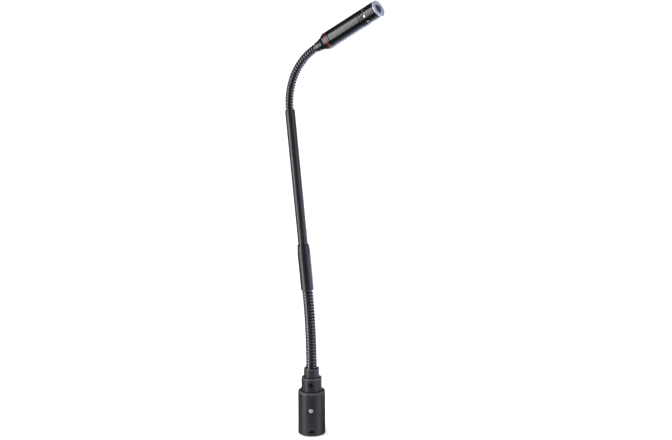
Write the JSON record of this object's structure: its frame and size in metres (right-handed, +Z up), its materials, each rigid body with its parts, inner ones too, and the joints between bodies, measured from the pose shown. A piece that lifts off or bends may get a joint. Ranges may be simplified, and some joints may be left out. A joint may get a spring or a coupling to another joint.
{
  "type": "gooseneck podium microphone",
  "caption": "Slim cylindrical microphone head on two bendable gooseneck sections joined by a rigid tube, rising from a round plug-in connector base.",
  "frame": {"origin": "centre of the connector's open rim, the plane that meets the panel socket", "axes": "+Z up the connector axis; +X the horizontal direction that the head points in; the necks curve in the XZ plane"},
  "size_m": [0.0746, 0.019, 0.3088],
  "materials": {
    "charcoal_shell": "satin charcoal coating",
    "gloss_black": "semi-gloss black lacquer",
    "coil_black": "blackened wound steel",
    "bright_ring": "bright brushed",
    "zinc": "zinc plated",
    "black_screw": "black oxide",
    "gold": "gold flashed",
    "nylon": "matte moulded",
    "red_marker": "gloss red",
    "port_mesh": "fine woven wire",
    "grille_mesh": "perforated",
    "board": "solder mask",
    "component": "moulded",
    "capsule_metal": "satin",
    "rubber_seat": "matte",
    "cable_jacket": "matte"
  },
  "bodies": {
    "base": {"connector_shell": "charcoal_shell", "contact_insert": "nylon", "contact_pin_1": "gold", "contact_pin_2": "gold", "contact_pin_3": "gold", "insert_screw": "zinc", "ground_tab": "zinc", "base_board": "board", "base_capacitor": "component", "neck_collar": "charcoal_shell", "neck_set_screw": "black_screw", "lower_ferrule": "charcoal_shell", "lower_coil_0": "coil_black", "signal_cable_base": "cable_jacket", "signal_cable_lower": "cable_jacket"},
    "lower_link_1": {"lower_coil_1": "coil_black"},
    "lower_link_2": {"lower_coil_2": "coil_black"},
    "lower_link_3": {"lower_coil_3": "coil_black"},
    "lower_link_4": {"lower_coil_4": "coil_black"},
    "lower_link_5": {"lower_coil_5": "coil_black"},
    "lower_link_6": {"lower_coil_6": "coil_black"},
    "lower_link_7": {"lower_coil_7": "coil_black"},
    "lower_link_8": {"lower_coil_8": "coil_black"},
    "stem": {"lower_coil_9": "coil_black", "middle_sleeve": "gloss_black", "rigid_tube": "gloss_black", "tube_plug": "zinc", "upper_coil_0": "coil_black", "signal_cable_stem": "cable_jacket", "signal_cable_upper": "cable_jacket"},
    "upper_link_1": {"upper_coil_1": "coil_black"},
    "upper_link_2": {"upper_coil_2": "coil_black"},
    "upper_link_3": {"upper_coil_3": "coil_black"},
    "upper_link_4": {"upper_coil_4": "coil_black"},
    "upper_link_5": {"upper_coil_5": "coil_black"},
    "upper_link_6": {"upper_coil_6": "coil_black"},
    "upper_link_7": {"upper_coil_7": "coil_black"},
    "upper_link_8": {"upper_coil_8": "coil_black"},
    "upper_link_9": {"upper_coil_9": "coil_black"},
    "upper_link_10": {"upper_coil_10": "coil_black"},
    "upper_link_11": {"upper_coil_11": "coil_black"},
    "upper_link_12": {"upper_coil_12": "coil_black"},
    "head": {"upper_coil_13": "coil_black", "gooseneck_collar": "gloss_black", "tail_nut": "gloss_black", "tail_cap": "gloss_black", "marker_ring": "red_marker", "head_barrel": "gloss_black", "coupling_ring": "gloss_black", "element_housing": "gloss_black", "port_gauze": "port_mesh", "front_ring": "bright_ring", "front_grille": "grille_mesh", "capsule": "capsule_metal", "capsule_seat": "rubber_seat", "contact_bush": "nylon", "contact_plunger": "gold", "head_board": "board", "head_transistor": "component", "signal_cable_head": "cable_jacket"}
  },
  "joints": [
    {"name": "lower_bend", "type": "hinge", "parent": "base", "child": "lower_link_1", "pos_m": [-0.00001, 0, 0.05084], "axis": [0, 1, 0], "range_deg": [-10.77, 13.23], "deforming": ["signal_cable_lower"]},
    {"name": "lower_sway", "type": "hinge", "parent": "lower_link_1", "child": "lower_link_2", "pos_m": [-0.00008, 0, 0.05713], "axis": [0.9998, 0, 0.0179], "range_deg": [-12, 12]},
    {"name": "lower_bend_2", "type": "hinge", "parent": "lower_link_2", "child": "lower_link_3", "pos_m": [-0.00023, 0, 0.06342], "axis": [0, 1, 0], "range_deg": [-10.77, 13.23]},
    {"name": "lower_sway_2", "type": "hinge", "parent": "lower_link_3", "child": "lower_link_4", "pos_m": [-0.00046, 0, 0.0697], "axis": [0.9991, 0, 0.0418], "range_deg": [-12, 12]},
    {"name": "lower_bend_3", "type": "hinge", "parent": "lower_link_4", "child": "lower_link_5", "pos_m": [-0.00076, 0, 0.07599], "axis": [0, 1, 0], "range_deg": [-10.77, 13.23]},
    {"name": "lower_sway_3", "type": "hinge", "parent": "lower_link_5", "child": "lower_link_6", "pos_m": [-0.00114, 0, 0.08226], "axis": [0.9978, 0, 0.0657], "range_deg": [-12, 12]},
    {"name": "lower_bend_4", "type": "hinge", "parent": "lower_link_6", "child": "lower_link_7", "pos_m": [-0.00159, 0, 0.08854], "axis": [0, 1, 0], "range_deg": [-10.77, 13.23]},
    {"name": "lower_sway_4", "type": "hinge", "parent": "lower_link_7", "child": "lower_link_8", "pos_m": [-0.00211, 0, 0.0948], "axis": [0.996, 0, 0.0895], "range_deg": [-12, 12]},
    {"name": "lower_bend_5", "type": "hinge", "parent": "lower_link_8", "child": "stem", "pos_m": [-0.00271, 0, 0.10106], "axis": [0, 1, 0], "range_deg": [-10.77, 13.23]},
    {"name": "upper_bend", "type": "hinge", "parent": "stem", "child": "upper_link_1", "pos_m": [-0.01671, 0, 0.23127], "axis": [0, 1, 0], "range_deg": [-21.08, 2.92], "deforming": ["signal_cable_upper"]},
    {"name": "upper_sway", "type": "hinge", "parent": "upper_link_1", "child": "upper_link_2", "pos_m": [-0.0168, 0, 0.23529], "axis": [0.9998, 0, -0.0205], "range_deg": [-10, 10]},
    {"name": "upper_bend_2", "type": "hinge", "parent": "upper_link_2", "child": "upper_link_3", "pos_m": [-0.01655, 0, 0.2393], "axis": [0, 1, 0], "range_deg": [-21.08, 2.92]},
    {"name": "upper_sway_2", "type": "hinge", "parent": "upper_link_3", "child": "upper_link_4", "pos_m": [-0.01595, 0, 0.24328], "axis": [0.9818, 0, -0.19], "range_deg": [-10, 10]},
    {"name": "upper_bend_3", "type": "hinge", "parent": "upper_link_4", "child": "upper_link_5", "pos_m": [-0.01502, 0, 0.24719], "axis": [0, 1, 0], "range_deg": [-21.08, 2.92]},
    {"name": "upper_sway_3", "type": "hinge", "parent": "upper_link_5", "child": "upper_link_6", "pos_m": [-0.01376, 0, 0.25101], "axis": [0.9353, 0, -0.354], "range_deg": [-10, 10]},
    {"name": "upper_bend_4", "type": "hinge", "parent": "upper_link_6", "child": "upper_link_7", "pos_m": [-0.01218, 0, 0.25471], "axis": [0, 1, 0], "range_deg": [-21.08, 2.92]},
    {"name": "upper_sway_4", "type": "hinge", "parent": "upper_link_7", "child": "upper_link_8", "pos_m": [-0.01028, 0, 0.25826], "axis": [0.8615, 0, -0.5077], "range_deg": [-10, 10]},
    {"name": "upper_bend_5", "type": "hinge", "parent": "upper_link_8", "child": "upper_link_9", "pos_m": [-0.0081, 0, 0.26163], "axis": [0, 1, 0], "range_deg": [-21.08, 2.92]},
    {"name": "upper_sway_5", "type": "hinge", "parent": "upper_link_9", "child": "upper_link_10", "pos_m": [-0.00563, 0, 0.26481], "axis": [0.7628, 0, -0.6466], "range_deg": [-10, 10]},
    {"name": "upper_bend_6", "type": "hinge", "parent": "upper_link_10", "child": "upper_link_11", "pos_m": [-0.0029, 0, 0.26776], "axis": [0, 1, 0], "range_deg": [-21.08, 2.92]},
    {"name": "upper_sway_6", "type": "hinge", "parent": "upper_link_11", "child": "upper_link_12", "pos_m": [0.00007, 0, 0.27047], "axis": [0.6419, 0, -0.7668], "range_deg": [-10, 10]},
    {"name": "upper_bend_7", "type": "hinge", "parent": "upper_link_12", "child": "head", "pos_m": [0.00326, 0, 0.27292], "axis": [0, 1, 0], "range_deg": [-21.08, 2.92]}
  ],
  "couplings": [
    {"joint": "lower_bend_2", "follows": "lower_bend", "ratio": 1},
    {"joint": "lower_sway_2", "follows": "lower_sway", "ratio": 1},
    {"joint": "lower_bend_3", "follows": "lower_bend", "ratio": 1},
    {"joint": "lower_sway_3", "follows": "lower_sway", "ratio": 1},
    {"joint": "lower_bend_4", "follows": "lower_bend", "ratio": 1},
    {"joint": "lower_sway_4", "follows": "lower_sway", "ratio": 1},
    {"joint": "lower_bend_5", "follows": "lower_bend", "ratio": 1},
    {"joint": "upper_bend_2", "follows": "upper_bend", "ratio": 1},
    {"joint": "upper_sway_2", "follows": "upper_sway", "ratio": 1},
    {"joint": "upper_bend_3", "follows": "upper_bend", "ratio": 1},
    {"joint": "upper_sway_3", "follows": "upper_sway", "ratio": 1},
    {"joint": "upper_bend_4", "follows": "upper_bend", "ratio": 1},
    {"joint": "upper_sway_4", "follows": "upper_sway", "ratio": 1},
    {"joint": "upper_bend_5", "follows": "upper_bend", "ratio": 1},
    {"joint": "upper_sway_5", "follows": "upper_sway", "ratio": 1},
    {"joint": "upper_bend_6", "follows": "upper_bend", "ratio": 1},
    {"joint": "upper_sway_6", "follows": "upper_sway", "ratio": 1},
    {"joint": "upper_bend_7", "follows": "upper_bend", "ratio": 1}
  ]
}
